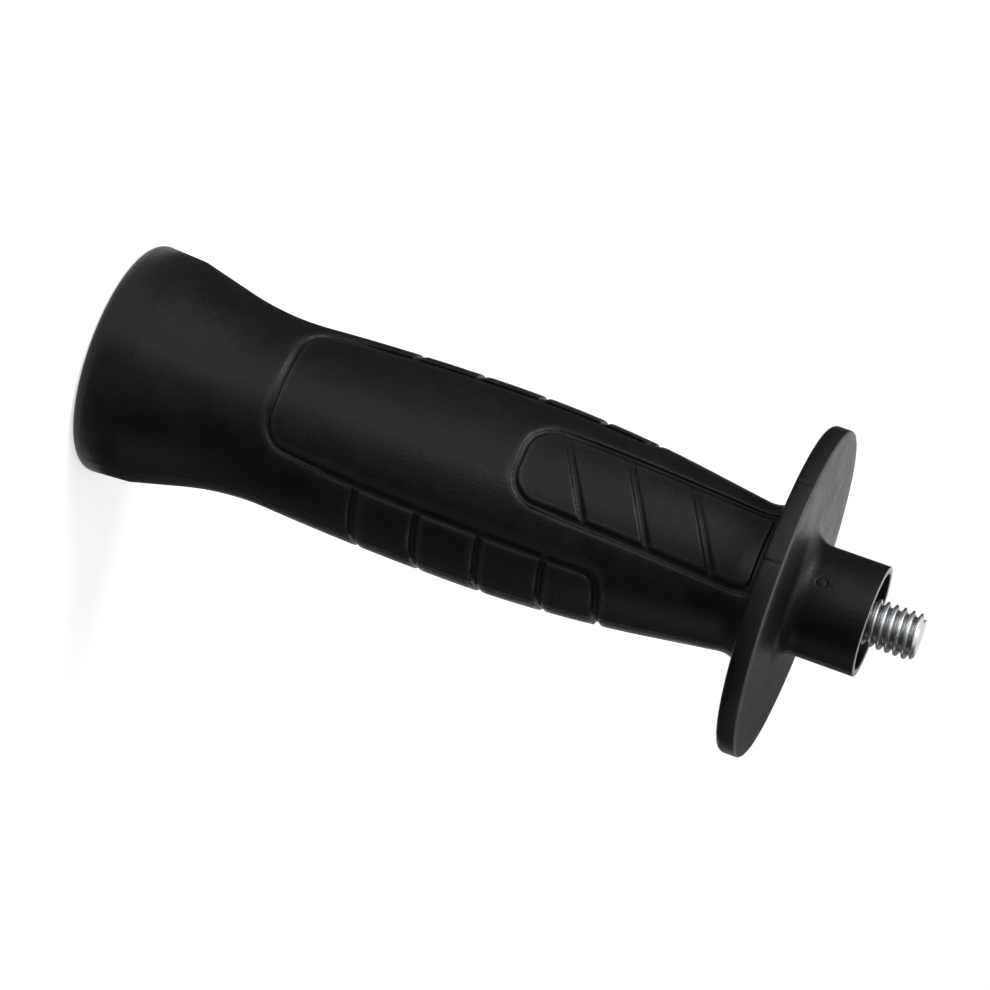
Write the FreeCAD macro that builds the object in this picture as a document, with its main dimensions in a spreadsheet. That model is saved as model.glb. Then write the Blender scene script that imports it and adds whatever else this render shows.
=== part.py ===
"""Side handle for a hand-held power tool, in millimetres.

The handle is one plastic moulding with a steel stud moulded into it. The origin is on the axis, at the front rim
of the boss, which is the shoulder that seats on the tool. +Z points out along the stud. The handle stands on its
flared rear end, and its two broad grip panels face -Y and +Y.
"""
import FreeCAD, Part
import os
from math import cos, radians, sin, sqrt, tan

import Sketcher
from FreeCAD import Placement, Rotation, Vector

# Driving dimensions. Radial steps are measured from the fattest part of the grip.
SIZES = {
    "swell_diameter": 34.0,
    "waist_drop": 1.2,
    "flare_rise": 3.8,
    "end_band_growth": 0.55,
    "neck_drop": 5.0,
    "swell_distance": 51.5,
    "waist_distance": 36.5,
    "flare_length": 21.3,
    "end_band_length": 8.2,
    "waist_radius": 45.0,
    "flare_angle": 14.1,
    "taper_angle": 8.3,
    "neck_fillet": 5.0,
    "end_chamfer": 1.2,
    "flange_diameter": 56.0,
    "flange_thickness": 3.5,
    "flange_chamfer": 0.9,
    "boss_diameter": 18.8,
    "boss_length": 13.0,
    "boss_wall": 1.2,
    "boss_root_fillet": 1.8,
    "boss_edge_chamfer": 0.25,
    "recess_depth": 5.0,
    "stud_diameter": 7.94,
    "shank_diameter": 7.02,
    "stud_length": 31.75,
    "stud_projection": 8.0,
    "stud_chamfer": 0.9,
    "head_across_flats": 12.7,
    "head_height": 5.3,
    "channel_depth": 0.6,
    "border_distance": 86.6,
    "border_side_drop": 3.75,
    "border_peak_distance": 46.5,
    "border_bow_radius": 400.0,
    "border_corner_radius": 5.0,
    "border_channel_width": 1.4,
    "side_channel_width": 1.05,
    "pad_end_distance": 26.2,
    "pad_corner_radius": 2.2,
    "ring_distance": 35.0,
    "ring_pitch": 11.0,
    "ring_count": 4,
    "ring_width": 1.4,
    "inset_gap": 1.5,
    "inset_length": 43.15,
    "inset_width": 15.0,
    "inset_corner_radius": 5.5,
    "inset_front_radius": 1.6,
    "inset_channel_width": 1.3,
    "bar_distance": 12.8,
    "bar_pitch": 10.95,
    "bar_count": 3,
    "bar_width": 1.3,
    "bar_angle": 31.0,
}

AXIS_X = Vector(1, 0, 0)
AXIS_Y = Vector(0, 1, 0)
AXIS_Z = Vector(0, 0, 1)
POINT_START, POINT_END, POINT_CENTRE = 1, 2, 3
HORIZONTAL_AXIS, VERTICAL_AXIS = -1, -2
ORIGIN = (HORIZONTAL_AXIS, POINT_START)


class Size:
    """A length or angle that knows its expression in the sheet and its present value."""

    def __init__(self, text, value):
        self.text = text
        self.value = value

    def _join(self, sign, other, value):
        return Size(f"({self.text} {sign} {other.text})", value)

    def __add__(self, other):
        return self._join("+", other, self.value + other.value)

    def __sub__(self, other):
        return self._join("-", other, self.value - other.value)

    def __mul__(self, other):
        return self._join("*", other, self.value * other.value)

    def __truediv__(self, other):
        return self._join("/", other, self.value / other.value)

    def __neg__(self):
        return Size(f"(-{self.text})", -self.value)


def plain(number):
    """A fixed number, such as the 2 that halves a diameter."""
    return Size(str(number), number)


def smaller(first, second):
    """The smaller of two sizes."""
    return Size(f"min({first.text}; {second.text})", min(first.value, second.value))


ZERO, TWO, THREE = plain(0), plain(2), plain(3)

doc = FreeCAD.newDocument("SideHandle")
sheet = doc.addObject("Spreadsheet::Sheet", "Sizes")
for row, (alias, number) in enumerate(SIZES.items(), start=1):
    sheet.set(f"A{row}", alias)
    sheet.set(f"B{row}", str(number))
    sheet.setAlias(f"B{row}", alias)
doc.recompute()


def size(alias):
    """The size with this alias in the sheet."""
    return Size(f"Sizes.{alias}", SIZES[alias])


def bind(target, path, wanted):
    """Ties a property of a document object to a size."""
    target.setExpression(path, wanted.text)


# Stations along the axis, as depths below the shoulder, and radii that several pieces share
swell_radius = size("swell_diameter") / TWO
waist_radius = swell_radius - size("waist_drop")
crease_radius = waist_radius + size("flare_rise")
end_radius = crease_radius + size("end_band_growth")
neck_radius = swell_radius - size("neck_drop")
flange_radius = size("flange_diameter") / TWO
boss_radius = size("boss_diameter") / TWO
border_half_width = swell_radius - size("border_side_drop")
flange_front = size("boss_length")
flange_back = flange_front + size("flange_thickness")
swell_depth = flange_back + size("swell_distance")
waist_depth = swell_depth + size("waist_distance")
crease_depth = waist_depth + size("flare_length")
end_depth = crease_depth + size("end_band_length")


def body_plane(body, role):
    """One of a body's own origin planes."""
    for feature in body.Origin.OriginFeatures:
        if feature.Role == role:
            return feature
    raise ValueError(role)


def body_sketch(body, name, role="XZ_Plane"):
    """An empty sketch of the body on one of its origin planes."""
    sketch = body.newObject("Sketcher::SketchObject", name)
    sketch.AttachmentSupport = [(body_plane(body, role), "")]
    sketch.MapMode = "FlatFace"
    return sketch


def side_sketch(name):
    """A free sketch in the XZ plane, seen from the front."""
    sketch = doc.addObject("Sketcher::SketchObject", name)
    sketch.Placement = Placement(Vector(), Rotation(AXIS_X, 90))
    return sketch


def line(sketch, start, end):
    """Adds a line between two (across, up) pairs and gives its index."""
    return sketch.addGeometry(Part.LineSegment(Vector(*start, 0), Vector(*end, 0)))


def arc(sketch, centre, radius, start, end):
    """Adds the short arc, counter-clockwise from start to end, and gives its index."""
    circle = Part.Circle(Vector(*centre, 0), AXIS_Z, radius)
    first = circle.parameter(Vector(*start, 0))
    last = circle.parameter(Vector(*end, 0))
    return sketch.addGeometry(Part.ArcOfCircle(circle, first, last))


def constrain(sketch, kind, *places):
    """Adds a constraint that has no size."""
    sketch.addConstraint(Sketcher.Constraint(kind, *places))


def drive(sketch, kind, places, wanted):
    """Adds a constraint whose value is a size of the sheet."""
    start_value = radians(wanted.value) if kind == "Angle" else wanted.value
    index = sketch.addConstraint(Sketcher.Constraint(kind, *places, start_value))
    bind(sketch, f"Constraints[{index}]", wanted)


def place(sketch, point, across=None, depth=None):
    """Sets how far a point lies across from the axis, how deep below the origin, or both."""
    if across is ZERO:
        constrain(sketch, "PointOnObject", *point, VERTICAL_AXIS)
    elif across is not None and across.value < 0:
        drive(sketch, "DistanceX", (*point, *ORIGIN), -across)
    elif across is not None:
        drive(sketch, "DistanceX", (*ORIGIN, *point), across)
    if depth is ZERO:
        constrain(sketch, "PointOnObject", *point, HORIZONTAL_AXIS)
    elif depth is not None and depth.value < 0:
        drive(sketch, "DistanceY", (*ORIGIN, *point), -depth)
    elif depth is not None:
        drive(sketch, "DistanceY", (*point, *ORIGIN), depth)


def polygon(sketch, corners):
    """A closed outline of lines through (across, depth) corners, each corner set by its sizes."""
    spots = [(across.value, -depth.value) for across, depth in corners]
    lines = [line(sketch, spot, spots[(i + 1) % len(spots)]) for i, spot in enumerate(spots)]
    for i, first in enumerate(lines):
        constrain(sketch, "Coincident", first, POINT_END, lines[(i + 1) % len(lines)], POINT_START)
        place(sketch, (first, POINT_START), *corners[i])


def revolve(body, sketch, name):
    """Turns a sketch once round the body's Z axis."""
    feature = body.newObject("PartDesign::Revolution", name)
    feature.Profile = sketch
    feature.ReferenceAxis = (sketch, ["V_Axis"])
    feature.Angle = 360
    sketch.Visibility = False
    doc.recompute()
    return feature


def ring_edges(shape, radius, depth):
    """Names of the circular edges of this radius at this depth below the shoulder."""
    names = []
    for index, edge in enumerate(shape.Edges, start=1):
        curve = edge.Curve
        if not isinstance(curve, Part.Circle):
            continue
        if abs(curve.Radius - radius.value) < 1e-4 and abs(curve.Center.z + depth.value) < 1e-4:
            names.append(f"Edge{index}")
    if not names:
        raise ValueError(f"no edge of radius {radius.value} at depth {depth.value}")
    return names


def dress(body, kind, name, rings, reach):
    """Adds a Fillet or a Chamfer of this reach to the body's circular edges at these (radius, depth) pairs."""
    edges = [edge for ring in rings for edge in ring_edges(body.Tip.Shape, *ring)]
    feature = body.newObject(f"PartDesign::{kind}", name)
    feature.Base = (feature.BaseFeature, edges)
    bind(feature, "Radius" if kind == "Fillet" else "Size", reach)
    doc.recompute()


def arc_into_line(run, rise, angle):
    """Radius of an arc that starts along the axis, turns by angle and meets a line to the point (run, rise)."""
    return (run * sin(angle) - rise * cos(angle)) / (1 - cos(angle))


def grip_section(sketch, inset):
    """Half section of the grip from its rear end to the flange, with every radius less by the inset.

    From the rear: end face, end band, straight flare, arc into the waist, arc out of it, long swell up to the peak
    and down from it, straight taper, and the fillet against the flange.
    """
    swell, waist, neck = swell_radius - inset, waist_radius - inset, neck_radius - inset
    crease, end = crease_radius - inset, end_radius - inset
    flare_angle, taper_angle = size("flare_angle"), size("taper_angle")

    # starting positions, close to where the constraints put them
    flare_turn = radians(flare_angle.value)
    flare_arc = arc_into_line(size("flare_length").value, size("flare_rise").value, flare_turn)
    waist_point = (waist.value, -waist_depth.value)
    flare_start = (waist.value + flare_arc * (1 - cos(flare_turn)), -waist_depth.value - flare_arc * sin(flare_turn))
    rise, run = size("waist_drop").value, size("waist_distance").value
    waist_arc = size("waist_radius").value
    swell_arc = (run**2 + rise**2) / (2 * rise) - waist_arc
    rise_turn = run / (waist_arc + swell_arc)
    inflection = (waist.value + waist_arc * (1 - cos(rise_turn)), -waist_depth.value + waist_arc * sin(rise_turn))
    peak = (swell.value, -swell_depth.value)
    taper_turn = radians(taper_angle.value)
    taper_arc = arc_into_line(size("swell_distance").value, size("neck_drop").value, taper_turn)
    taper_start = (swell.value - taper_arc * (1 - cos(taper_turn)), -swell_depth.value + taper_arc * sin(taper_turn))
    fillet_radius = size("neck_fillet").value
    fillet_reach = fillet_radius * (1 - sin(taper_turn)) / cos(taper_turn)
    fillet_start = (neck.value + fillet_reach * sin(taper_turn), -flange_back.value - fillet_reach * cos(taper_turn))
    fillet_end = (neck.value + fillet_reach, -flange_back.value)
    fillet_centre = (fillet_end[0], fillet_end[1] - fillet_radius)
    end_corner = (end.value, -end_depth.value)
    crease_point = (crease.value, -crease_depth.value)

    end_face = line(sketch, (0, -end_depth.value), end_corner)
    end_band = line(sketch, end_corner, crease_point)
    flare = line(sketch, crease_point, flare_start)
    into_waist = arc(sketch, (waist.value + flare_arc, -waist_depth.value), flare_arc, waist_point, flare_start)
    out_of_waist = arc(sketch, (waist.value + waist_arc, -waist_depth.value), waist_arc, inflection, waist_point)
    swell_rear = arc(sketch, (swell.value - swell_arc, -swell_depth.value), swell_arc, inflection, peak)
    swell_front = arc(sketch, (swell.value - taper_arc, -swell_depth.value), taper_arc, peak, taper_start)
    taper = line(sketch, taper_start, fillet_start)
    neck_arc = arc(sketch, fillet_centre, fillet_radius, fillet_end, fillet_start)
    flange_line = line(sketch, fillet_end, (0, -flange_back.value))
    axis_line = line(sketch, (0, -flange_back.value), (0, -end_depth.value))

    constrain(sketch, "Coincident", end_face, POINT_END, end_band, POINT_START)
    constrain(sketch, "Coincident", end_band, POINT_END, flare, POINT_START)
    constrain(sketch, "Tangent", flare, POINT_END, into_waist, POINT_END)
    constrain(sketch, "Coincident", into_waist, POINT_START, out_of_waist, POINT_END)
    constrain(sketch, "Tangent", out_of_waist, POINT_START, swell_rear, POINT_START)
    constrain(sketch, "Coincident", swell_rear, POINT_END, swell_front, POINT_START)
    constrain(sketch, "Tangent", swell_front, POINT_END, taper, POINT_START)
    constrain(sketch, "Tangent", taper, POINT_END, neck_arc, POINT_END)
    constrain(sketch, "Tangent", neck_arc, POINT_START, flange_line, POINT_START)
    constrain(sketch, "Coincident", flange_line, POINT_END, axis_line, POINT_START)
    constrain(sketch, "Coincident", axis_line, POINT_END, end_face, POINT_START)
    constrain(sketch, "Horizontal", flange_line)
    for curve, level in ((into_waist, POINT_START), (out_of_waist, POINT_END),
                         (swell_rear, POINT_END), (swell_front, POINT_START)):
        constrain(sketch, "Horizontal", curve, POINT_CENTRE, curve, level)

    place(sketch, (end_face, POINT_START), ZERO, end_depth)
    place(sketch, (end_face, POINT_END), end, end_depth)
    place(sketch, (end_band, POINT_END), crease, crease_depth)
    place(sketch, (into_waist, POINT_START), waist, waist_depth)
    place(sketch, (swell_rear, POINT_END), swell, swell_depth)
    place(sketch, (flange_line, POINT_END), ZERO, flange_back)
    drive(sketch, "Radius", (out_of_waist,), size("waist_radius"))
    drive(sketch, "Radius", (neck_arc,), size("neck_fillet"))
    drive(sketch, "Angle", (VERTICAL_AXIS, flare), flare_angle)
    drive(sketch, "Angle", (VERTICAL_AXIS, taper), taper_angle)
    neck_mark = sketch.addGeometry(Part.Point(Vector(neck.value, -flange_back.value, 0)), True)
    place(sketch, (neck_mark, POINT_START), neck, flange_back)
    constrain(sketch, "PointOnObject", neck_mark, POINT_START, taper)


def turned_grip(name, inset):
    """A body turned from the grip's half section."""
    body = doc.addObject("PartDesign::Body", name)
    sketch = body_sketch(body, name + "Section")
    grip_section(sketch, inset)
    revolve(body, sketch, name + "Turned")
    return body


def moulding_blank():
    """Grip, flange and boss before the channels: turned, with the boss recess and the rounded edges."""
    body = turned_grip("MouldingBlank", ZERO)
    recess_radius = boss_radius - size("boss_wall")
    sketch = body_sketch(body, "FlangeSection")
    polygon(sketch, [
        (ZERO, flange_back),
        (flange_radius, flange_back),
        (flange_radius, flange_front),
        (boss_radius, flange_front),
        (boss_radius, ZERO),
        (recess_radius, ZERO),
        (recess_radius, size("recess_depth")),
        (ZERO, size("recess_depth")),
    ])
    revolve(body, sketch, "FlangeTurned")
    rim = [(flange_radius, flange_back), (flange_radius, flange_front)]
    dress(body, "Chamfer", "FlangeRim", rim, smaller(size("flange_chamfer"), size("flange_thickness") / THREE))
    dress(body, "Fillet", "BossRoot", [(boss_radius, flange_front)], size("boss_root_fillet"))
    rim = [(boss_radius, ZERO), (recess_radius, ZERO)]
    dress(body, "Chamfer", "BossRim", rim, smaller(size("boss_edge_chamfer"), size("boss_wall") / THREE))
    dress(body, "Chamfer", "RearEdge", [(end_radius, end_depth)], size("end_chamfer"))
    return body


def prism(name, draw, *sizes):
    """Draws a closed outline in the XZ plane and carries it through the grip, front to back."""
    sketch = side_sketch(name + "Outline")
    draw(sketch, *sizes)
    solid = doc.addObject("Part::Extrusion", name)
    solid.Base = sketch
    solid.DirMode = "Custom"
    solid.Dir = AXIS_Y
    solid.Symmetric = True
    solid.Solid = True
    bind(solid, "LengthFwd", size("swell_diameter") * TWO)
    return solid


def border_edge(sketch, half_width, bow_radius, rear_depth, corner_radius, pad_depth, hook_radius):
    """The right half of one edge of the border channel, from the rear middle round to the side of the grip.

    It runs across the rear, round a corner, along the bowed side, and hooks outwards in front of the last pad.
    """
    peak_depth = flange_back + size("border_peak_distance")
    bow_x, bow_z, bow = half_width.value - bow_radius.value, -peak_depth.value, bow_radius.value
    corner, hook = corner_radius.value, hook_radius.value
    corner_z = corner - rear_depth.value
    corner_x = bow_x + sqrt((bow - corner)**2 - (corner_z - bow_z)**2)
    hook_z = -pad_depth.value - hook
    hook_x = bow_x + sqrt((bow + hook)**2 - (hook_z - bow_z)**2)
    corner_share, hook_share = bow / (bow - corner), bow / (bow + hook)
    bow_start = (bow_x + (corner_x - bow_x) * corner_share, bow_z + (corner_z - bow_z) * corner_share)
    bow_end = (bow_x + (hook_x - bow_x) * hook_share, bow_z + (hook_z - bow_z) * hook_share)
    rear_end = (corner_x, -rear_depth.value)
    hook_end = (hook_x, -pad_depth.value)
    reach = size("swell_diameter")

    rear_line = line(sketch, (0, -rear_depth.value), rear_end)
    corner_arc = arc(sketch, (corner_x, corner_z), corner, rear_end, bow_start)
    bow_arc = arc(sketch, (bow_x, bow_z), bow, bow_start, bow_end)
    hook_arc = arc(sketch, (hook_x, hook_z), hook, hook_end, bow_end)
    pad_line = line(sketch, hook_end, (reach.value, -pad_depth.value))
    constrain(sketch, "Tangent", rear_line, POINT_END, corner_arc, POINT_START)
    constrain(sketch, "Tangent", corner_arc, POINT_END, bow_arc, POINT_START)
    constrain(sketch, "Tangent", bow_arc, POINT_END, hook_arc, POINT_END)
    constrain(sketch, "Tangent", hook_arc, POINT_START, pad_line, POINT_START)
    constrain(sketch, "Horizontal", rear_line)
    constrain(sketch, "Horizontal", pad_line)
    place(sketch, (rear_line, POINT_START), ZERO, rear_depth)
    place(sketch, (pad_line, POINT_END), reach, pad_depth)
    place(sketch, (bow_arc, POINT_CENTRE), half_width - bow_radius, peak_depth)
    drive(sketch, "Radius", (corner_arc,), corner_radius)
    drive(sketch, "Radius", (bow_arc,), bow_radius)
    drive(sketch, "Radius", (hook_arc,), hook_radius)
    return rear_line, pad_line


def border_outline(sketch):
    """The right half of the channel between the broad panel and the finger strip."""
    side_width, rear_width, ring_width = size("side_channel_width"), size("border_channel_width"), size("ring_width")
    outer = (
        border_half_width,
        size("border_bow_radius"),
        flange_back + size("border_distance"),
        size("border_corner_radius"),
        flange_back + size("pad_end_distance"),
        size("pad_corner_radius"),
    )
    steps = (-side_width, -side_width, -rear_width, -rear_width, -ring_width, side_width)
    inner = tuple(length + step for length, step in zip(outer, steps))
    outer_rear, outer_pad = border_edge(sketch, *outer)
    inner_rear, inner_pad = border_edge(sketch, *inner)
    reach = size("swell_diameter").value
    rear_close = line(sketch, (0, -outer[2].value), (0, -inner[2].value))
    side_close = line(sketch, (reach, -outer[4].value), (reach, -inner[4].value))
    constrain(sketch, "Coincident", rear_close, POINT_START, outer_rear, POINT_START)
    constrain(sketch, "Coincident", rear_close, POINT_END, inner_rear, POINT_START)
    constrain(sketch, "Coincident", side_close, POINT_START, outer_pad, POINT_END)
    constrain(sketch, "Coincident", side_close, POINT_END, inner_pad, POINT_END)


def ring_channel(index):
    """One channel across the right finger strip, from the middle of the side channel outwards."""
    distance = size("ring_distance") + plain(index) * size("ring_pitch")
    off_peak = distance - size("border_peak_distance")
    bow_drop = off_peak * off_peak / (TWO * size("border_bow_radius"))
    ring = doc.addObject("Part::Box", f"RingChannel{index + 1}")
    bind(ring, "Length", size("swell_diameter"))
    bind(ring, "Width", size("swell_diameter") * TWO)
    bind(ring, "Height", size("ring_width"))
    bind(ring, "Placement.Base.x", border_half_width - size("side_channel_width") / TWO - bow_drop)
    bind(ring, "Placement.Base.y", -size("swell_diameter"))
    bind(ring, "Placement.Base.z", -(flange_back + distance + size("ring_width") / TWO))
    return ring


def inset_outline(sketch, inset):
    """The rounded outline of the inset panel, drawn in by the inset on every side."""
    half_width = size("inset_width") / TWO - inset
    front_depth = flange_back + size("inset_gap") + inset
    rear_depth = flange_back + size("inset_gap") + size("inset_length") - inset
    rear_radius = size("inset_corner_radius") - inset
    front_radius = size("inset_front_radius") - inset / TWO
    x, front, rear = half_width.value, -front_depth.value, -rear_depth.value
    corners = [
        (x, rear, -1, 1, rear_radius),
        (x, front, -1, -1, front_radius),
        (-x, front, 1, -1, front_radius),
        (-x, rear, 1, 1, rear_radius),
    ]
    arcs = []
    for corner_x, corner_z, inward_x, inward_z, radius in corners:
        centre = (corner_x + inward_x * radius.value, corner_z + inward_z * radius.value)
        on_side, on_end = (corner_x, centre[1]), (centre[0], corner_z)
        ends = (on_end, on_side) if inward_x * inward_z < 0 else (on_side, on_end)
        arcs.append((arc(sketch, centre, radius.value, *ends), *ends))
    for i, (index, _, end) in enumerate(arcs):
        drive(sketch, "Radius", (index,), corners[i][-1])
        following, start, _ = arcs[(i + 1) % len(arcs)]
        side = line(sketch, end, start)
        constrain(sketch, "Tangent", index, POINT_END, side, POINT_START)
        constrain(sketch, "Tangent", side, POINT_END, following, POINT_START)
        if i % 2:
            constrain(sketch, "Horizontal", side)
            place(sketch, (side, POINT_START), depth=front_depth if i == 1 else rear_depth)
        else:
            constrain(sketch, "Vertical", side)
            place(sketch, (side, POINT_START), across=half_width if i == 0 else -half_width)


def bar_outline(sketch, index):
    """One slanted channel across the inset panel, rising towards +X."""
    turn = size("bar_angle")
    slope = Size(f"tan({turn.text} * 1 deg)", tan(radians(turn.value)))
    squint = Size(f"cos({turn.text} * 1 deg)", cos(radians(turn.value)))
    reach = size("inset_width")
    rise = reach * slope
    half_height = size("bar_width") / squint / TWO
    middle = flange_back + size("bar_distance") + plain(index) * size("bar_pitch")
    polygon(sketch, [
        (-reach, middle + rise - half_height),
        (-reach, middle + rise + half_height),
        (reach, middle - rise + half_height),
        (reach, middle - rise - half_height),
    ])


def fuse(name, solids):
    """One solid or set of solids from several."""
    result = doc.addObject("Part::MultiFuse", name)
    result.Shapes = solids
    return result


def cut(name, base, tool):
    """The base less the tool."""
    result = doc.addObject("Part::Cut", name)
    result.Base = base
    result.Tool = tool
    return result


def channel_network():
    """Every channel of the grip at full depth, as the solid to take out of the blank."""
    rings = [ring_channel(index) for index in range(SIZES["ring_count"])]
    right_side = fuse("RightChannels", [prism("BorderChannel", border_outline), *rings])
    left_side = doc.addObject("Part::Mirroring", "LeftChannels")
    left_side.Source = right_side
    left_side.Normal = AXIS_X
    bars = [prism(f"BarChannel{index + 1}", bar_outline, index) for index in range(SIZES["bar_count"])]
    inner_panel = prism("InsetInner", inset_outline, size("inset_channel_width"))
    islands = cut("InsetIslands", inner_panel, fuse("BarChannels", bars))
    inset = cut("InsetChannels", prism("InsetOuter", inset_outline, ZERO), islands)
    through = fuse("ChannelsThrough", [right_side, left_side, inset])
    return cut("Channels", through, turned_grip("ChannelFloor", size("channel_depth")))


def threaded_stud():
    """The steel screw that is moulded in, with a hexagon head and a chamfered tip.

    Where it stands free the thread is a cylinder at its crests. In the moulding it is one at its mean diameter.
    """
    body = doc.addObject("PartDesign::Body", "Stud")
    radius = size("stud_diameter") / TWO
    buried_radius = size("shank_diameter") / TWO
    tip = -size("stud_projection")
    under_head = tip + size("stud_length")
    sketch = body_sketch(body, "ShankSection")
    polygon(sketch, [
        (ZERO, tip),
        (radius - size("stud_chamfer"), tip),
        (radius, tip + size("stud_chamfer")),
        (radius, size("recess_depth")),
        (buried_radius, size("recess_depth")),
        (buried_radius, under_head),
        (ZERO, under_head),
    ])
    revolve(body, sketch, "Shank")
    hexagon = body_sketch(body, "HeadOutline", "XY_Plane")
    bind(hexagon, "AttachmentOffset.Base.z", -under_head)
    half_flats = size("head_across_flats") / TWO
    corner = size("head_across_flats") / Size("sqrt(3)", sqrt(3))
    half_corner = corner / TWO
    polygon(hexagon, [
        (corner, ZERO),
        (half_corner, -half_flats),
        (-half_corner, -half_flats),
        (-corner, ZERO),
        (-half_corner, half_flats),
        (half_corner, half_flats),
    ])
    head = body.newObject("PartDesign::Pad", "Head")
    head.Profile = hexagon
    head.Reversed = True
    bind(head, "Length", size("head_height"))
    hexagon.Visibility = False
    body.Label = "threaded_stud"
    return body


stud = threaded_stud()
doc.recompute()
channelled = cut("Channelled", moulding_blank(), channel_network())
moulding = cut("Moulding", channelled, stud)
moulding.Label = "handle_moulding"
doc.recompute()

for item in doc.Objects:
    if "Invalid" in item.State or "Error" in item.State:
        raise RuntimeError(f"{item.Name} failed: {item.State}")
os.makedirs("parts", exist_ok=True)
for part in (moulding, stud):
    if part.Shape.isNull() or not part.Shape.isValid() or len(part.Shape.Solids) != 1:
        raise RuntimeError(f"{part.Label} is not one valid solid")
    part.Shape.exportStep(f"parts/{part.Label}.step")
    print(part.Label, "volume", round(part.Shape.Volume, 1), "mm3")
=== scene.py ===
import bpy
import numpy as np
from mathutils import Matrix


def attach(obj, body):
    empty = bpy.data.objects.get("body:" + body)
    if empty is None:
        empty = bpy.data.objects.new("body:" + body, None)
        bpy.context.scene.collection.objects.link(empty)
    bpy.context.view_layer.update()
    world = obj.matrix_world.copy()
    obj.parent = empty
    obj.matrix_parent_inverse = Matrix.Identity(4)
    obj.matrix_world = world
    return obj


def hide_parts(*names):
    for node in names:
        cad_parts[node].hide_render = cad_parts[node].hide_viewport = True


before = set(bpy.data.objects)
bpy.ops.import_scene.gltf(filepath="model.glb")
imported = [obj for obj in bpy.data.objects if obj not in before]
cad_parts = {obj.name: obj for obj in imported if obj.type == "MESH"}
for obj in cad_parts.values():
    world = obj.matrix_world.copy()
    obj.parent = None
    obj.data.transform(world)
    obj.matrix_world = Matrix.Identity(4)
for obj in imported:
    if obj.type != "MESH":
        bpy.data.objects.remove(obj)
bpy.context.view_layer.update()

# Grip and guard moulding
# One injection moulding in black plastic: flared rear end, swelling grip, round finger guard and boss. Its
# mould opens front to back, so every channel in the grip runs straight through in that direction.


def grip_radius(z):
    """Radius of the turned grip at height z in mm.

    From the rear: end band and flare are straight, an arc of 49.9 runs into the waist and one of 45 out of
    it, arcs of 510.7 and 237.4 make the swell up to its peak and down from it, then come a straight taper and
    a round of 5.
    """
    def hollow(across, level, radius):
        return across - np.sqrt(np.maximum(radius**2 - (z - level)**2, 0))

    def crown(across, level, radius):
        return across + np.sqrt(np.maximum(radius**2 - (z - level)**2, 0))

    return np.select(
        [z < -125.8, z < -116.657, z < -104.5, z < -101.544, z < -68.0, z < -33.728, z < -22.222],
        [
            19.6 - 0.55 * (z + 125.8) / 8.2,
            17.303 - 2.297 * (z + 116.657) / 9.143,
            hollow(65.703, -104.5, 49.903),
            hollow(60.8, -104.5, 45.0),
            crown(-493.704, -68.0, 510.704),
            crown(-220.413, -68.0, 237.413),
            14.513 - 1.678 * (z + 33.728) / 11.506,
        ],
        hollow(17.782, -21.5, 5.0),
    )


# Channels in the side view, in mm: depths run back from the boss's rim, half widths out from the middle
CHANNEL_DEPTH = 0.6
WALL_LEAD, WALL_RUN, SOFT_RUN = 0.12, 0.42, 1.2
WALL_STOPS = np.array([-WALL_LEAD, 0.0, 0.1, 0.2, WALL_RUN - WALL_LEAD])
BOW_CENTRE, BOW_DEPTH = -386.75, 63.0
OUTER_HALF, INNER_HALF = 13.25, 12.2
OUTER_REAR, INNER_REAR = 103.1, 101.7
OUTER_HOOK, INNER_HOOK = 42.7, 41.3
OUTER_ROUNDS, INNER_ROUNDS = (2.2, 5.0), (3.25, 3.6)
RING_DEPTHS, RING_HALF, RING_START = (51.5, 62.5, 73.5, 84.5), 0.7, 12.725
INSET_HALF, INSET_FRONT, INSET_REAR, INSET_CHANNEL = 7.5, 18.0, 61.15, 1.3
INSET_FRONT_ROUND, INSET_REAR_ROUND = 1.6, 5.5
BAR_DEPTHS, BAR_HALF, BAR_SLOPE = (29.3, 40.25, 51.2), 0.65, np.radians(31.0)
FAR_OUTSIDE = -99.0


def bow_line(depth, half_width):
    """How far out the bowed side of the border lies at this depth: a circle about one far centre."""
    level = np.minimum(depth, OUTER_REAR)
    return BOW_CENTRE + np.sqrt((half_width - BOW_CENTRE)**2 - (level - BOW_DEPTH)**2)


def round_meet(first, second, radius):
    """Inside both of two edges, with the corner between them rounded. Distances are positive inside."""
    corner = radius - np.hypot(radius - first, radius - second)
    return np.where((first < radius) & (second < radius), corner, np.minimum(first, second))


def border_side(across, depth, half_width, hook_depth, rear_depth, rounds):
    """Distance inside one edge of the border: inside the bowed side or in front of the last pad, and in front
    of the rear line, with a round hook and a round rear corner."""
    hook_radius, corner_radius = rounds
    beside = (half_width - BOW_CENTRE) - np.hypot(across - BOW_CENTRE, depth - BOW_DEPTH)
    before_pad = hook_depth - depth
    open_side = -round_meet(-beside, -before_pad, hook_radius)
    return round_meet(open_side, rear_depth - depth, corner_radius)


def inset_edge(x, depth, inset):
    """Distance inside the panel's outline drawn in by the inset, with small front and large rear corners."""
    beside = INSET_HALF - inset - np.abs(x)
    front = round_meet(beside, depth - INSET_FRONT - inset, INSET_FRONT_ROUND - inset / 2)
    rear = round_meet(beside, INSET_REAR - inset - depth, INSET_REAR_ROUND - inset)
    return np.minimum(front, rear)


def wall_step(distance, run):
    """How far down a channel's wall a point lies, from 0 to 1: s squared times (3 - 2 s), s being the part of
    the wall's run that lies behind it."""
    part = np.clip((distance + WALL_LEAD) / run, 0, 1)
    return part**2 * (3 - 2 * part)


def eased_run(extra, depth, start, end):
    """A wall's run that grows evenly by the extra while the depth goes from the start to the end."""
    return WALL_RUN + extra * np.clip((depth - start) / (end - start), 0, 1)


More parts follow.
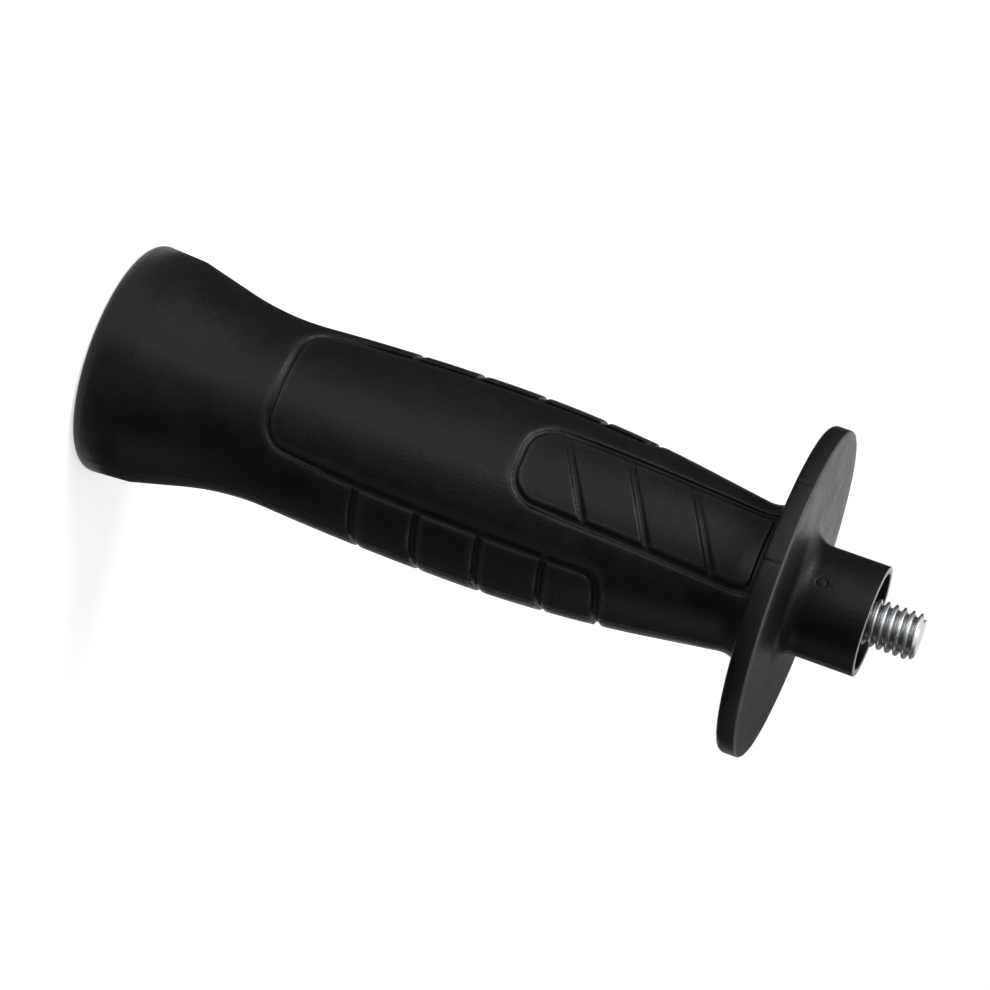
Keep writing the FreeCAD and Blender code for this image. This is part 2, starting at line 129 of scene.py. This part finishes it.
def channel_network(x, depth):
    """Distance inside the border, ring or inset outline in the side view, and the part of the full depth.

    The border and the inset's outline have a steep wall inside and one outside that is soft towards the rear.
    The four rings a side and the border's hook are steep behind and soft in front, and the three bars have
    two steep walls. The depth is the least of a channel's wall steps, and the most where channels meet.
    """
    across = np.abs(x)
    outer = border_side(across, depth, OUTER_HALF, OUTER_HOOK, OUTER_REAR, OUTER_ROUNDS)
    inner = border_side(across, depth, INNER_HALF, INNER_HOOK, INNER_REAR, INNER_ROUNDS)
    rear_run = eased_run(0.55, depth, 90.0, 98.0)
    hook_run = eased_run(0.6 * (across > 9.0), depth, 45.0, 42.5)
    nearest = np.minimum(outer, -inner)
    sunk = np.minimum(wall_step(outer, rear_run), wall_step(-inner, hook_run))
    beside = across - bow_line(depth, RING_START)
    for level in RING_DEPTHS:
        nearest = np.maximum(nearest, np.minimum(RING_HALF - np.abs(depth - level), beside))
        behind = wall_step(level + RING_HALF - depth, WALL_RUN)
        in_front = wall_step(depth - level + RING_HALF, SOFT_RUN)
        sunk = np.maximum(sunk, np.minimum(np.minimum(behind, in_front), wall_step(beside, WALL_RUN)))
    bars = np.full_like(x, FAR_OUTSIDE)
    for level in BAR_DEPTHS:
        from_middle = np.abs(depth - level + x * np.tan(BAR_SLOPE)) * np.cos(BAR_SLOPE)
        bars = np.maximum(bars, BAR_HALF - from_middle)
    panel, island = inset_edge(x, depth, 0.0), inset_edge(x, depth, INSET_CHANNEL)
    panel_run = eased_run(0.6, depth, 50.0, 58.0)
    within = np.maximum(wall_step(-island, WALL_RUN), wall_step(bars, WALL_RUN))
    inset_sunk = np.minimum(wall_step(panel, panel_run), within)
    return np.maximum(nearest, np.minimum(panel, -island)), np.maximum(sunk, inset_sunk)


def steps(start, end, step):
    """Even levels from start towards end, about one step apart, with the end left out."""
    return np.linspace(start, end, max(1, round(abs(end - start) / step)), endpoint=False)


def round_corner(across, level, radius, start, end, count):
    """(radius, height) pairs on the round of an edge, from one angle to another in degrees."""
    turn = np.radians(np.linspace(start, end, count))
    return np.column_stack([across + radius * np.cos(turn), level + radius * np.sin(turn)])


def grip_levels():
    """Heights of the grip's rows: close together over inset and corners, and closest at channel edges.

    An edge is a depth and the side on which its channel lies: 1 behind it and -1 in front of it.
    """
    plain_rows = np.concatenate([
        steps(-132.0, -126.1, 1.2),
        steps(-126.1, -125.5, 0.15),
        steps(-125.5, -104.0, 1.1),
        steps(-104.0, -96.6, 0.32),
        steps(-96.6, -61.8, 0.9),
        steps(-61.8, -17.4, 0.32),
        steps(-17.4, -16.5, 0.15),
    ])
    edges = [(OUTER_REAR, -1), (INNER_REAR, 1), (OUTER_HOOK, -1), (INNER_HOOK, 1), (INSET_REAR, -1),
             (INSET_REAR - INSET_CHANNEL, 1), (INSET_FRONT, 1), (INSET_FRONT + INSET_CHANNEL, -1)]
    for level in RING_DEPTHS:
        edges += [(level + RING_HALF, -1), (level - RING_HALF, 1)]
    close_rows = np.concatenate([-(depth + side * WALL_STOPS) for depth, side in edges])
    gap = np.abs(plain_rows[:, None] - close_rows[None, :]).min(axis=1)
    return np.unique(np.round(np.concatenate([plain_rows[gap > 0.13], close_rows]), 3))


# Turned form in mm: heights along the handle's axis, radii, and the rounds of its edges, from the rear on
REAR_FACE, GUARD_BACK, GUARD_FRONT, RECESS_FLOOR = -134.0, -16.5, -13.0, -5.0
GUARD_RADIUS, BOSS_RADIUS, RECESS_RADIUS = 28.0, 9.4, 8.2
REAR_ROUND, BACK_ROUND, FRONT_ROUND, ROOT_ROUND, RIM_ROUND = 1.8, 1.0, 0.45, 3.0, 0.2

# Mould marks in mm, with turns in degrees round the axis
SEAM_HEIGHT, SEAM_HALF = 0.03, 0.15
NICK_DEPTH, NICK_TURN = 0.3, 74.9
GATE_DEPTH, GATE_RADIUS, GATE_TURN, GATE_LEVEL = 0.1, 0.85, 272.3, -8.9


def moulding_profile():
    """(radius, height) pairs round the half section, from the rear face's middle to the recess's floor."""
    grip = grip_levels()
    boss = np.concatenate([np.linspace(-9.95, -7.75, 16), [-6.0, -3.0, -1.0]])
    return np.concatenate([
        np.column_stack([[0.0, 6.0, 12.0, 17.0], [REAR_FACE] * 4]),
        round_corner(18.225, REAR_FACE + REAR_ROUND, REAR_ROUND, -90, 3.84, 9),
        np.column_stack([grip_radius(grip), grip]),
        np.column_stack([[17.78, 20.0, 23.5], [GUARD_BACK] * 3]),
        round_corner(GUARD_RADIUS - BACK_ROUND, GUARD_BACK + BACK_ROUND, BACK_ROUND, -90, 0, 7),
        round_corner(GUARD_RADIUS - FRONT_ROUND, GUARD_FRONT - FRONT_ROUND, FRONT_ROUND, 0, 90, 6),
        np.column_stack([[24.0, 19.0, 14.5], [GUARD_FRONT] * 3]),
        round_corner(BOSS_RADIUS + ROOT_ROUND, GUARD_FRONT + ROOT_ROUND, ROOT_ROUND, 270, 180, 10),
        np.column_stack([np.full(len(boss), BOSS_RADIUS), boss]),
        round_corner(BOSS_RADIUS - RIM_ROUND, -RIM_ROUND, RIM_ROUND, 0, 90, 5),
        round_corner(RECESS_RADIUS + RIM_ROUND, -RIM_ROUND, RIM_ROUND, 90, 180, 5),
        np.column_stack([[RECESS_RADIUS] * 3, [-1.5, -3.0, -4.7]]),
        np.column_stack([[7.9, 6.0, 3.0, 0.0], [RECESS_FLOOR] * 4]),
    ])


def guide_angles(height):
    """Angle of each column on each row, in radians, for the quarter from +X to +Y and then the other three.

    The columns follow the edges of the side channel and of the inset, and are spaced evenly between them.
    Some lie close together at the parting line, at the nicks in the guard's rim and over the gate's mark.
    """
    depth = np.clip(-height, 17.5, OUTER_REAR)
    base = grip_radius(np.clip(height, REAR_FACE, -17.5))
    outer, inner = bow_line(depth, OUTER_HALF), bow_line(depth, INNER_HALF)
    guides = [np.zeros_like(base), 0.08 / base, 0.2 / base]
    guides += [np.arccos(np.clip((outer - move) / base, -1, 1)) for move in WALL_STOPS]
    guides += [np.arccos(np.clip((inner + move) / base, -1, 1)) for move in WALL_STOPS[::-1]]
    guides += [np.arccos((INSET_HALF - move) / base) for move in WALL_STOPS]
    guides += [np.arccos((INSET_HALF - INSET_CHANNEL + move) / base) for move in WALL_STOPS[::-1]]
    past_inset = (NICK_TURN - 0.4, NICK_TURN, NICK_TURN + 0.4, 90.0)
    guides += [np.full_like(base, np.radians(turn)) for turn in past_inset]
    counts = [1, 1, 11] + [1] * 9 + [8] + [1] * 4 + [2] + [1] * 4 + [8, 1, 1, 15]
    columns = [
        low + (high - low) * share / count
        for low, high, count in zip(guides[:-1], guides[1:], counts)
        for share in range(count)
    ]
    quarter = np.column_stack(columns + [guides[-1]])
    half = np.concatenate([quarter[:, :-1], np.pi - quarter[:, :0:-1]], axis=1)
    return np.concatenate([half, half + np.pi], axis=1)


def mould_marks(angle, ring_radius, ring_height, y):
    """How far the mould's marks stand out of the surface in mm, and into it where negative.

    A parting line runs down both sides, two nicks lie in the rear edge of the guard's rim, and a ring-shaped
    mark of the gate is sunk in the boss. Each is its height times a ramp or step of the distance from it.
    """
    guard_rim = GUARD_RADIUS - 2.0
    on_seam = np.clip(1 - np.abs(y) / SEAM_HALF, 0, 1) * (ring_height > -132.0) * (ring_radius < guard_rim)
    from_front = np.abs(angle - 1.5 * np.pi)
    on_nick = (np.abs(from_front - np.radians(90.0 - NICK_TURN)) < 0.002) * (ring_radius > guard_rim)
    at_rear = np.clip((-15.0 - ring_height) / 0.6, 0, 1)
    from_gate = np.hypot(BOSS_RADIUS * (angle - np.radians(GATE_TURN)), ring_height - GATE_LEVEL)
    on_gate = np.clip(1.6 - np.abs(from_gate - GATE_RADIUS) / 0.14, 0, 1)
    on_boss = np.abs(ring_radius - BOSS_RADIUS) < 0.01
    return SEAM_HEIGHT * on_seam - NICK_DEPTH * on_nick * at_rear - GATE_DEPTH * on_gate * on_boss


def ring_grid_faces(rows, columns):
    """Quads between neighbouring rows of a grid that closes on itself, and a fan of triangles at each pole.

    The points are the first pole, then the rows one after another, then the last pole.
    """
    index = 1 + np.arange(rows * columns).reshape(rows, columns)
    right = np.roll(index, -1, axis=1)
    quads = np.stack([index[:-1], right[:-1], right[1:], index[1:]], axis=-1).reshape(-1, 4)
    last = rows * columns + 1
    first_fan = np.stack([np.zeros(columns, int), right[0], index[0]], axis=-1)
    last_fan = np.stack([np.full(columns, last), index[-1], right[-1]], axis=-1)
    return quads.tolist() + first_fan.tolist() + last_fan.tolist()


def mesh_piece(name, points, faces):
    """A smooth-shaded object at the origin from points in mm and faces."""
    mesh = bpy.data.meshes.new(name)
    mesh.from_pydata((points * 0.001).tolist(), [], faces)
    mesh.polygons.foreach_set("use_smooth", np.ones(len(mesh.polygons), bool))
    mesh.update()
    piece = bpy.data.objects.new(name, mesh)
    bpy.context.scene.collection.objects.link(piece)
    return piece


def vertex_mask(piece, name, values):
    """Stores one number per vertex for a material to read."""
    layer = piece.data.attributes.new(name, "FLOAT", "POINT")
    layer.data.foreach_set("value", np.asarray(values, dtype=np.float32))


def with_poles(values):
    """The numbers of a grid's points in order, with a nought for the pole at each end."""
    return np.concatenate([[0], values.ravel(), [0]])


# The turned surface is sunk by the channels to a smaller radius. As far out as the border's side a point keeps
# its x, so that a channel runs straight through, and past it x shrinks with the radius.
profile = moulding_profile()
radius, height = profile[1:-1, 0], profile[1:-1, 1]
angle = guide_angles(height)
ring_radius = np.repeat(radius[:, None], angle.shape[1], axis=1)
ring_height = np.repeat(height[:, None], angle.shape[1], axis=1)
x, y = ring_radius * np.cos(angle), ring_radius * np.sin(angle)
distance, sunk = channel_network(x, -ring_height)
on_grip = ring_height < -17.0
distance = np.where(on_grip, distance, FAR_OUTSIDE)
sunk = np.where(on_grip, CHANNEL_DEPTH * sunk, 0.0)
side_line = bow_line(-ring_height, OUTER_HALF)
beyond = np.clip((np.abs(x) - side_line) / np.maximum(ring_radius - side_line, 0.5), 0, 1)**2
sunk_x = x * (1 - beyond * sunk / ring_radius)
sunk_y = np.sign(y) * np.sqrt(np.maximum((ring_radius - sunk)**2 - sunk_x**2, 0))
x = np.where(sunk > 0, sunk_x, x)
y = np.where(sunk > 0, sunk_y, y)
pushed = 1 + mould_marks(angle, ring_radius, ring_height, y) / ring_radius
grid = np.stack([x * pushed, y * pushed, ring_height], axis=-1).reshape(-1, 3)
points = np.concatenate([[[0, 0, REAR_FACE]], grid, [[0, 0, RECESS_FLOOR]]])
moulding = mesh_piece("grip_and_guard", points, ring_grid_faces(*angle.shape))
# Band along the channel edges: partly hand wear, partly a painted highlight that makes the edges paler
vertex_mask(moulding, "edge_wear_and_sheen", with_poles(np.exp(-((distance + 0.3) / 0.35)**2)))
# Painted highlight: a pale grey band round the boss's rim and a fainter one along the guard's front edge
boss_rim_highlight = (ring_height > -0.07).astype(float)
from_guard_edge = ((ring_height + 13.15) / 0.2)**2 + ((ring_radius - 27.85) / 0.3)**2
vertex_mask(moulding, "rim_highlight", with_poles(boss_rim_highlight + 0.25 * np.exp(-from_guard_edge)))
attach(moulding, "root")
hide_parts("handle_moulding")


def node_group(name, inputs, outputs):
    """An empty shader group with named sockets, given as (name, kind, start value) and (name, kind)."""
    group = bpy.data.node_groups.new(name, "ShaderNodeTree")
    for title, kind, value in inputs:
        socket = group.interface.new_socket(name=title, in_out="INPUT", socket_type="NodeSocket" + kind)
        if value is not None:
            socket.default_value = value
    for title, kind in outputs:
        group.interface.new_socket(name=title, in_out="OUTPUT", socket_type="NodeSocket" + kind)
    return group, group.nodes.new("NodeGroupInput"), group.nodes.new("NodeGroupOutput")


def add_node(tree, kind, settings=None, **links):
    """A node with its settings, and its inputs linked from sockets or set to values.

    An input goes by its name, or by its number after an underscore.
    """
    node = tree.nodes.new(kind)
    for name, value in (settings or {}).items():
        setattr(node, name, value)
    for name, value in links.items():
        socket = node.inputs[int(name[1:])] if name[0] == "_" else node.inputs[name.replace("_", " ")]
        if isinstance(value, bpy.types.NodeSocket):
            tree.links.new(value, socket)
        else:
            socket.default_value = value
    return node


# Moulded grain: two sizes of noise, the finer one a matt etched skin, the broader one slight marks of flow
grain, grain_in, grain_out = node_group(
    "moulded_grain",
    [("Place", "Vector", None), ("Grain size", "Float", 2000.0), ("Flow size", "Float", 160.0)],
    [("Height", "Float"), ("Mottle", "Float")],
)
etched = add_node(grain, "ShaderNodeTexNoise", Vector=grain_in.outputs["Place"],
                  Scale=grain_in.outputs["Grain size"], Detail=2.0, Roughness=0.6)
flow = add_node(grain, "ShaderNodeTexNoise", Vector=grain_in.outputs["Place"],
                Scale=grain_in.outputs["Flow size"], Detail=4.0, Roughness=0.65)
grain.links.new(etched.outputs["Fac"], grain_out.inputs["Height"])
grain.links.new(flow.outputs["Fac"], grain_out.inputs["Mottle"])


def grained_material(name, grain_size, flow_size):
    """A new material with the moulded grain in it, laid out by the object's own coordinates."""
    material = bpy.data.materials.new(name)
    material.use_nodes = True
    tree = material.node_tree
    place = add_node(tree, "ShaderNodeTexCoord").outputs["Object"]
    skin = tree.nodes.new("ShaderNodeGroup")
    skin.node_tree = grain
    tree.links.new(place, skin.inputs["Place"])
    skin.inputs["Grain size"].default_value = grain_size
    skin.inputs["Flow size"].default_value = flow_size
    return material, tree, tree.nodes["Principled BSDF"], skin


def black_plastic():
    """Black plastic: a matt etched skin, shinier where hands rub the channel edges and a little paler there,
    partly from wear and partly as a painted highlight, with a pale grey painted highlight along the boss's rim
    and the guard's front edge."""
    material, tree, shader, skin = grained_material("black_plastic", 2000.0, 160.0)
    edge_wear_and_sheen = add_node(tree, "ShaderNodeAttribute", {"attribute_name": "edge_wear_and_sheen"}).outputs["Fac"]
    tone = add_node(tree, "ShaderNodeValToRGB", Fac=skin.outputs["Mottle"])
    dark, light = tone.color_ramp.elements
    dark.position, light.position = 0.35, 0.7
    dark.color = (0.0032, 0.0032, 0.0034, 1)
    light.color = (0.0062, 0.0062, 0.0065, 1)
    # The channel edges turn paler: partly wear, partly a painted highlight
    worn_and_sheen = add_node(tree, "ShaderNodeMix", {"data_type": "RGBA"}, _0=edge_wear_and_sheen, _6=tone.outputs["Color"],
                    _7=(0.013, 0.013, 0.0135, 1))
    # Painted highlight: the boss's rim and the guard's front edge turn pale grey
    rim_highlight = add_node(tree, "ShaderNodeAttribute", {"attribute_name": "rim_highlight"}).outputs["Fac"]
    pale = add_node(tree, "ShaderNodeMix", {"data_type": "RGBA"}, _0=rim_highlight, _6=worn_and_sheen.outputs[2],
                    _7=(0.36, 0.36, 0.365, 1))
    tree.links.new(pale.outputs[2], shader.inputs["Base Color"])
    matt = add_node(tree, "ShaderNodeMapRange", Value=skin.outputs["Mottle"], From_Min=0.3, From_Max=0.7,
                    To_Min=0.2, To_Max=0.32)
    uneven = add_node(tree, "ShaderNodeMath", {"operation": "MULTIPLY_ADD"}, _0=skin.outputs["Height"],
                      _1=0.3, _2=matt.outputs["Result"])
    shine = add_node(tree, "ShaderNodeMath", {"operation": "MULTIPLY_ADD"}, _0=edge_wear_and_sheen, _1=-0.14,
                     _2=uneven.outputs[0])
    tree.links.new(shine.outputs[0], shader.inputs["Roughness"])
    bump = add_node(tree, "ShaderNodeBump", Height=skin.outputs["Height"], Strength=0.6, Distance=0.0001)
    tree.links.new(bump.outputs["Normal"], shader.inputs["Normal"])
    shader.inputs["Specular IOR Level"].default_value = 0.22
    return material


moulding.data.materials.append(black_plastic())

# Threaded stud
# A zinc-plated steel screw with its hexagon head moulded into the grip. The free end carries a rolled coarse
# thread, 18 turns to the inch, with a chamfered tip, and stands out of the recess in the boss.

THREAD_PITCH, THREAD_DEPTH = 1.411, 0.82
CREST_RADIUS, SHANK_RADIUS = 3.97, 3.51
HEAD_FLATS, TIP_RADIUS, TIP_SLOPE = 12.7, 3.3, 0.95
HEAD_REAR, HEAD_FRONT, THREAD_START, TIP = -29.05, -23.75, -5.05, 8.0
STUD_SIDES = 96


def thread_depth(phase):
    """How far the thread lies below its crest at a phase from 0 to 1 along one pitch.

    It is a triangle wave s, cut off flat over a quarter of the pitch at the crest and an eighth at the root,
    and eased at its corners: 0.65 s plus 0.35 times s squared times (3 - 2 s).
    """
    slope = np.clip((np.abs((phase % 1.0) - 0.5) * 2 - 0.25) / 0.625, 0, 1)
    return THREAD_DEPTH * (0.65 * slope + 0.35 * slope**2 * (3 - 2 * slope))


def stud_points():
    """Rows from the head's rear face to the tip, six-sided on the head and threaded on the free end."""
    turn = np.linspace(0, 2 * np.pi, STUD_SIDES, endpoint=False)
    hexagon = HEAD_FLATS / 2 / np.cos((turn % (np.pi / 3)) - np.pi / 6)
    head = [(3.0, HEAD_REAR), (6.1, HEAD_REAR), (hexagon, -28.7), (hexagon, -23.9), (6.0, HEAD_FRONT),
            (3.6, HEAD_FRONT)]
    rows = [np.column_stack([across * np.cos(turn), across * np.sin(turn), np.full(STUD_SIDES, level)])
            for across, level in head]
    shank = np.concatenate([np.linspace(-23.7, -5.2, 12), np.arange(-5.1, 7.95, 0.09), [7.97, TIP]])
    level = np.repeat(shank[:, None], STUD_SIDES, axis=1)
    thread = CREST_RADIUS - thread_depth(level / THREAD_PITCH - turn / (2 * np.pi))
    chamfer = TIP_RADIUS + np.maximum(TIP - level, 0) * TIP_SLOPE
    across = np.where(level < THREAD_START, SHANK_RADIUS, np.minimum(thread, chamfer))
    body = np.stack([across * np.cos(turn), across * np.sin(turn), level], axis=-1)
    tip = np.column_stack([2.2 * np.cos(turn), 2.2 * np.sin(turn), np.full(STUD_SIDES, 7.99)])
    return np.concatenate([np.stack(rows), body, tip[None]])


stud_rows = stud_points()
points = np.concatenate([[[0, 0, HEAD_REAR]], stud_rows.reshape(-1, 3), [[0, 0, 7.97]]])
stud = mesh_piece("threaded_screw", points, ring_grid_faces(*stud_rows.shape[:2]))
# Painted shade: this mask darkens the thread's roots
below_crest = (CREST_RADIUS - np.hypot(stud_rows[..., 0], stud_rows[..., 1])) / THREAD_DEPTH
in_thread = (stud_rows[..., 2] > THREAD_START) & (stud_rows[..., 2] < 7.1)
vertex_mask(stud, "root", with_poles(in_thread * np.clip(below_crest, 0, 1)**4))
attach(stud, "root")
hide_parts("threaded_stud")


def plated_steel():
    """Bright zinc on rolled steel: clear metal with faint blotches, and painted shade darkening the thread's
    roots.
    """
    material, tree, shader, skin = grained_material("plated_steel", 1800.0, 700.0)
    tone = add_node(tree, "ShaderNodeValToRGB", Fac=skin.outputs["Mottle"])
    dark, light = tone.color_ramp.elements
    dark.color = (0.56, 0.57, 0.58, 1)
    light.color = (0.8, 0.81, 0.82, 1)
    # Painted shade: the thread's roots darken to a dark blue-grey
    root = add_node(tree, "ShaderNodeAttribute", {"attribute_name": "root"}).outputs["Fac"]
    root_shade = add_node(tree, "ShaderNodeMix", {"data_type": "RGBA"}, _0=root, _6=tone.outputs["Color"],
                     _7=(0.3, 0.32, 0.335, 1))
    tree.links.new(root_shade.outputs[2], shader.inputs["Base Color"])
    gloss = add_node(tree, "ShaderNodeMapRange", Value=skin.outputs["Mottle"], From_Min=0.3, From_Max=0.7,
                     To_Min=0.22, To_Max=0.38)
    tree.links.new(gloss.outputs["Result"], shader.inputs["Roughness"])
    bump = add_node(tree, "ShaderNodeBump", Height=skin.outputs["Height"], Strength=0.15, Distance=0.00004)
    tree.links.new(bump.outputs["Normal"], shader.inputs["Normal"])
    shader.inputs["Metallic"].default_value = 1.0
    return material


stud.data.materials.append(plated_steel())

# Studio
# The handle stands on its rear end on a plain white floor. A broad soft lamp lights its left side, a second
# the stud's end, a slim one draws the streak along the grip, and a weak one lights the right edge.

FLOOR_LEVEL, FLOOR_HALF = -0.134, 3.0
floor_mesh = bpy.data.meshes.new("studio_floor")
corners = [(FLOOR_HALF * a, FLOOR_HALF * b, FLOOR_LEVEL) for a, b in ((-1, -1), (1, -1), (1, 1), (-1, 1))]
floor_mesh.from_pydata(corners, [], [(0, 1, 2, 3)])
floor = bpy.data.objects.new("studio_floor", floor_mesh)
bpy.context.scene.collection.objects.link(floor)
floor_paint = bpy.data.materials.new("studio_white")
floor_paint.use_nodes = True
paper = floor_paint.node_tree
sheet = paper.nodes["Principled BSDF"]
sheet.inputs["Base Color"].default_value = (0.86, 0.86, 0.86, 1)
sheet.inputs["Roughness"].default_value = 0.9
sheet.inputs["Emission Color"].default_value = (1, 1, 1, 1)


def looked_at(tree):
    """One for the camera's rays and those that a shiny or clear surface sends on, nought for the rest."""
    rays = add_node(tree, "ShaderNodeLightPath").outputs
    direct = add_node(tree, "ShaderNodeMath", {"operation": "MAXIMUM"}, _0=rays["Is Camera Ray"],
                      _1=rays["Is Glossy Ray"])
    both = add_node(tree, "ShaderNodeMath", {"operation": "MAXIMUM"}, _0=direct.outputs[0],
                    _1=rays["Is Transmission Ray"])
    return both.outputs[0]


glow = add_node(paper, "ShaderNodeMath", {"operation": "MULTIPLY"}, _0=looked_at(paper), _1=0.6)
paper.links.new(glow.outputs[0], sheet.inputs["Emission Strength"])
floor_mesh.materials.append(floor_paint)

world = bpy.data.worlds.new("studio_world")
bpy.context.scene.world = world
world.use_nodes = True
sky = world.node_tree
background = sky.nodes["Background"]
brightness = add_node(sky, "ShaderNodeMapRange", Value=looked_at(sky), To_Min=0.4, To_Max=1.0)
sky.links.new(brightness.outputs["Result"], background.inputs["Strength"])
background.inputs["Color"].default_value = (1, 1, 1, 1)


def placed(columns, place):
    """The matrix that stands an object at a place, with its three own axes given as columns."""
    return Matrix([[*row, spot] for row, spot in zip(columns, place)] + [[0, 0, 0, 1]])


def soft_lamp(name, place, aim, width, rise, power):
    """An upright oblong area lamp at a place, turned to face the aim point. The camera doesn't see it."""
    lamp = bpy.data.lights.new(name, "AREA")
    lamp.shape, lamp.size, lamp.size_y, lamp.energy = "RECTANGLE", width, rise, power
    away = np.array(place) - np.array(aim)
    away = away / np.linalg.norm(away)
    side = np.cross((0.0, 0.0, 1.0), away)
    side = side / np.linalg.norm(side)
    holder = bpy.data.objects.new(name, lamp)
    holder.matrix_world = placed(np.column_stack([side, np.cross(away, side), away]), place)
    holder.visible_camera = False
    bpy.context.scene.collection.objects.link(holder)


soft_lamp("broad_lamp", (-0.55, -0.75, 0.5), (-0.08, -0.3, -0.134), 0.6, 0.6, 7.0)
soft_lamp("stud_end_lamp", (-0.2, -0.4, 1.0), (0, 0, -0.04), 0.5, 0.5, 1.6)
soft_lamp("streak_lamp", (0.021, -0.199, -0.094), (0, 0, -0.094), 0.012, 0.09, 0.02)
soft_lamp("edge_lamp", (0.7, 0.35, 0.1), (0, 0, -0.06), 0.3, 0.3, 0.3)

# Flags
# Two curved cards shade the handle's two sides, and a small one stands behind the guard. The large ones grade
# from pale to dark, and the right one leans in overhead. Only the handle's shine takes them in.

FLAG_COLUMNS = 49


def flag(name, bearings, tones, out, level):
    """A card swept round the handle: its section is (out, level) pairs in metres, from 1 mm over the floor.

    It is a grid of section by bearing in degrees, and its tone at each bearing is read off the given pairs.
    """
    bearing = np.linspace(bearings[0], bearings[-1], FLAG_COLUMNS)
    spots = np.stack([
        np.outer(out, np.cos(np.radians(bearing))),
        np.outer(out, np.sin(np.radians(bearing))),
        np.repeat(np.array(level)[:, None] + FLOOR_LEVEL + 0.001, FLAG_COLUMNS, axis=1),
    ], axis=-1).reshape(-1, 3)
    index = np.arange(len(out) * FLAG_COLUMNS).reshape(len(out), FLAG_COLUMNS)
    quads = np.stack([index[:-1, :-1], index[1:, :-1], index[1:, 1:], index[:-1, 1:]], axis=-1)
    mesh = bpy.data.meshes.new(name)
    mesh.from_pydata(spots.tolist(), [], quads.reshape(-1, 4).tolist())
    paint = bpy.data.materials.new(name)
    paint.use_nodes = True
    shader = paint.node_tree.nodes["Principled BSDF"]
    tone = add_node(paint.node_tree, "ShaderNodeAttribute", {"attribute_name": "tone"}).outputs["Fac"]
    paint.node_tree.links.new(tone, shader.inputs["Base Color"])
    shader.inputs["Roughness"].default_value = 1.0
    mesh.materials.append(paint)
    card = bpy.data.objects.new(name, mesh)
    vertex_mask(card, "tone", np.tile(np.interp(bearing, bearings, tones), len(out)))
    card.visible_camera = card.visible_diffuse = card.visible_shadow = card.visible_transmission = False
    bpy.context.scene.collection.objects.link(card)


flag("right_flag", (-78, -60, -40, -15, 86), (0.8, 0.4, 0.15, 0.05, 0.16),
     (0.024, 0.3, 0.7, 0.91, 1.0, 1.0, 0.85, 0.5), (0, 0, 0, 0.09, 0.3, 0.7, 1.0, 1.2))
flag("left_flag", (130, 160, 180, 200, 226, 245), (0.02, 0.05, 0.12, 0.22, 0.5, 0.8),
     (0.024, 0.3, 0.7, 0.91, 1.0, 1.0), (0, 0, 0, 0.09, 0.3, 0.6))
flag("guard_flag", (88, 110), (0.2, 0.2), (0.14, 0.14), (0.1, 0.26))

# Camera
# A long lens from the handle's front, a little above the level of the guard and rolled on its side.

image_right = (-0.38463, 0.05657, 0.92134)
image_up = (-0.8458, -0.42139, -0.32722)
looking_back = (0.36973, -0.90513, 0.20992)
camera_data = bpy.data.cameras.new("photo_camera")
camera_data.lens, camera_data.sensor_width, camera_data.clip_start = 133.16, 36.0, 0.01
camera = bpy.data.objects.new("photo_camera", camera_data)
camera.matrix_world = placed(zip(image_right, image_up, looking_back), (0.2240, -0.5455, 0.0610))
bpy.context.scene.collection.objects.link(camera)
bpy.context.scene.camera = camera
bpy.context.scene.view_settings.view_transform = "Standard"
